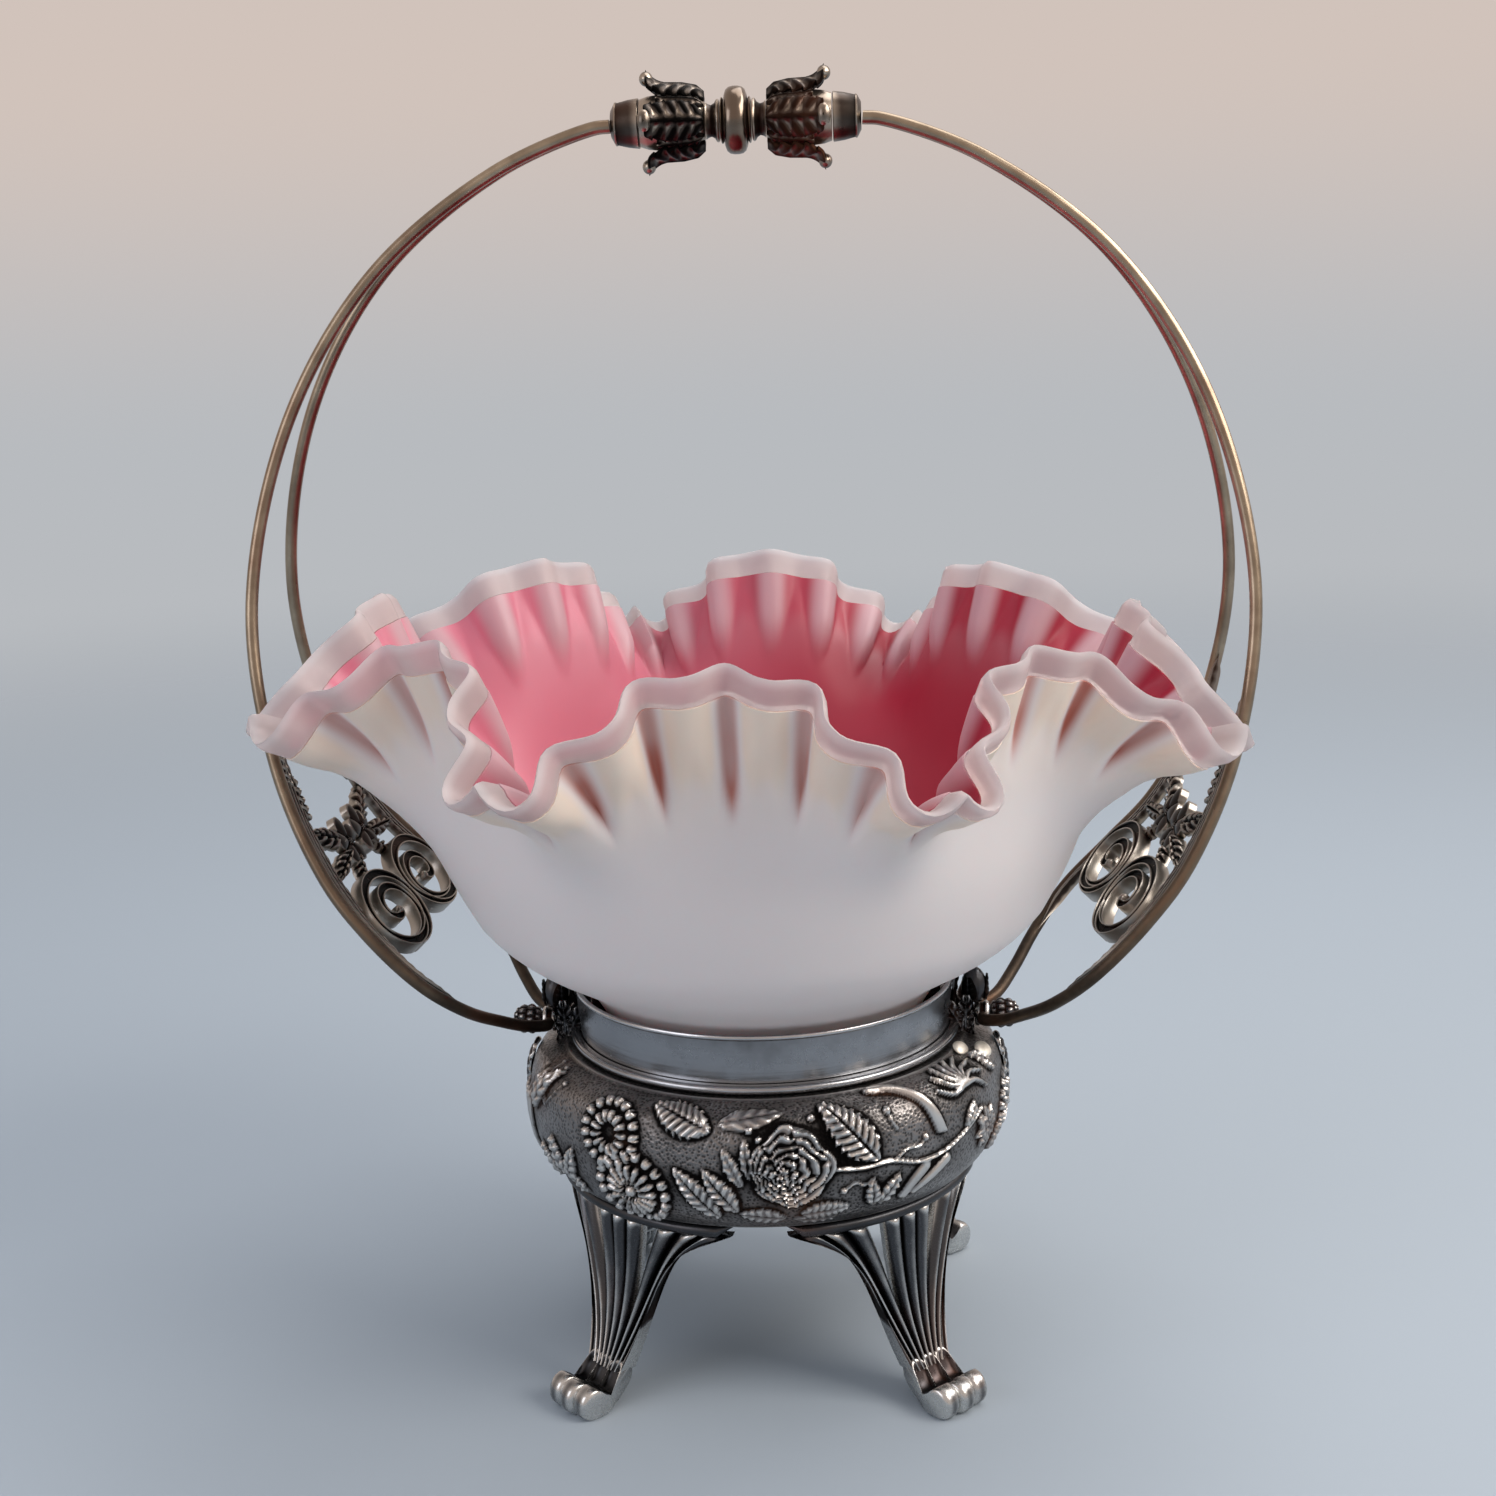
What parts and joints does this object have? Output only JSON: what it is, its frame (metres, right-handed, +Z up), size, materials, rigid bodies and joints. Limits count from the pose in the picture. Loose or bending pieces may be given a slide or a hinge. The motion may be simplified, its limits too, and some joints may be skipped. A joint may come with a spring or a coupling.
{
  "type": "brides_basket",
  "caption": "Footed silver-plated brides basket with a swinging hoop handle and a removable ruffled bowl of cased satin glass, white outside and raspberry pink inside",
  "frame": {"origin": "On the table, under the middle of the stand", "axes": "+Z is up, +X is the right of the stand as seen from its front, and the handle's pivots lie along X. The front is toward -Y"},
  "size_m": [0.2546, 0.2461, 0.3339],
  "materials": {
    "bright_silver": "satin",
    "dark_silver": "satin",
    "toned_silver": "polished",
    "bare_plate": "matte",
    "cased_glass": "satin",
    "frosted_glass": "satin"
  },
  "bodies": {
    "stand": {"leg_front_right": "dark_silver", "leg_back_right": "dark_silver", "leg_back_left": "dark_silver", "leg_front_left": "dark_silver", "bottom_lip_ring": "bright_silver", "base_plate": "bare_plate", "drum_shell": "dark_silver", "collar_band": "bright_silver", "collar_foot_ring": "bright_silver", "bowl_seat": "bare_plate", "bracket_right": "dark_silver", "bracket_bud_right": "dark_silver", "collar_tab_right": "dark_silver", "shoulder_leaf_right": "dark_silver", "bracket_left": "dark_silver", "bracket_bud_left": "dark_silver", "collar_tab_left": "dark_silver", "shoulder_leaf_left": "dark_silver"},
    "handle": {"grip_bead": "bright_silver", "handle_hub_right": "dark_silver", "flower_knob_right": "dark_silver", "wire_front_right_lower": "toned_silver", "wire_front_right_middle": "toned_silver", "wire_front_right_upper": "toned_silver", "wire_back_right_lower": "toned_silver", "wire_back_right_middle": "toned_silver", "wire_back_right_upper": "toned_silver", "side_panel_right": "toned_silver", "grip_neck_right": "toned_silver", "grip_sleeve_right": "toned_silver", "grip_ferrule_right": "toned_silver", "handle_hub_left": "dark_silver", "flower_knob_left": "dark_silver", "wire_front_left_lower": "toned_silver", "wire_front_left_middle": "toned_silver", "wire_front_left_upper": "toned_silver", "wire_back_left_lower": "toned_silver", "wire_back_left_middle": "toned_silver", "wire_back_left_upper": "toned_silver", "side_panel_left": "toned_silver", "grip_neck_left": "toned_silver", "grip_sleeve_left": "toned_silver", "grip_ferrule_left": "toned_silver"},
    "bowl": {"glass_bowl": "cased_glass", "frosted_edge": "frosted_glass"}
  },
  "joints": [
    {"name": "handle_swing", "type": "hinge", "parent": "stand", "child": "handle", "pos_m": [0, 0, 0.0896], "axis": [1, 0, 0], "range_deg": [-30, 30]},
    {"name": "bowl_lift", "type": "slide", "parent": "stand", "child": "bowl", "axis": [0, 0, 1], "range_m": [0, 0.03]}
  ]
}
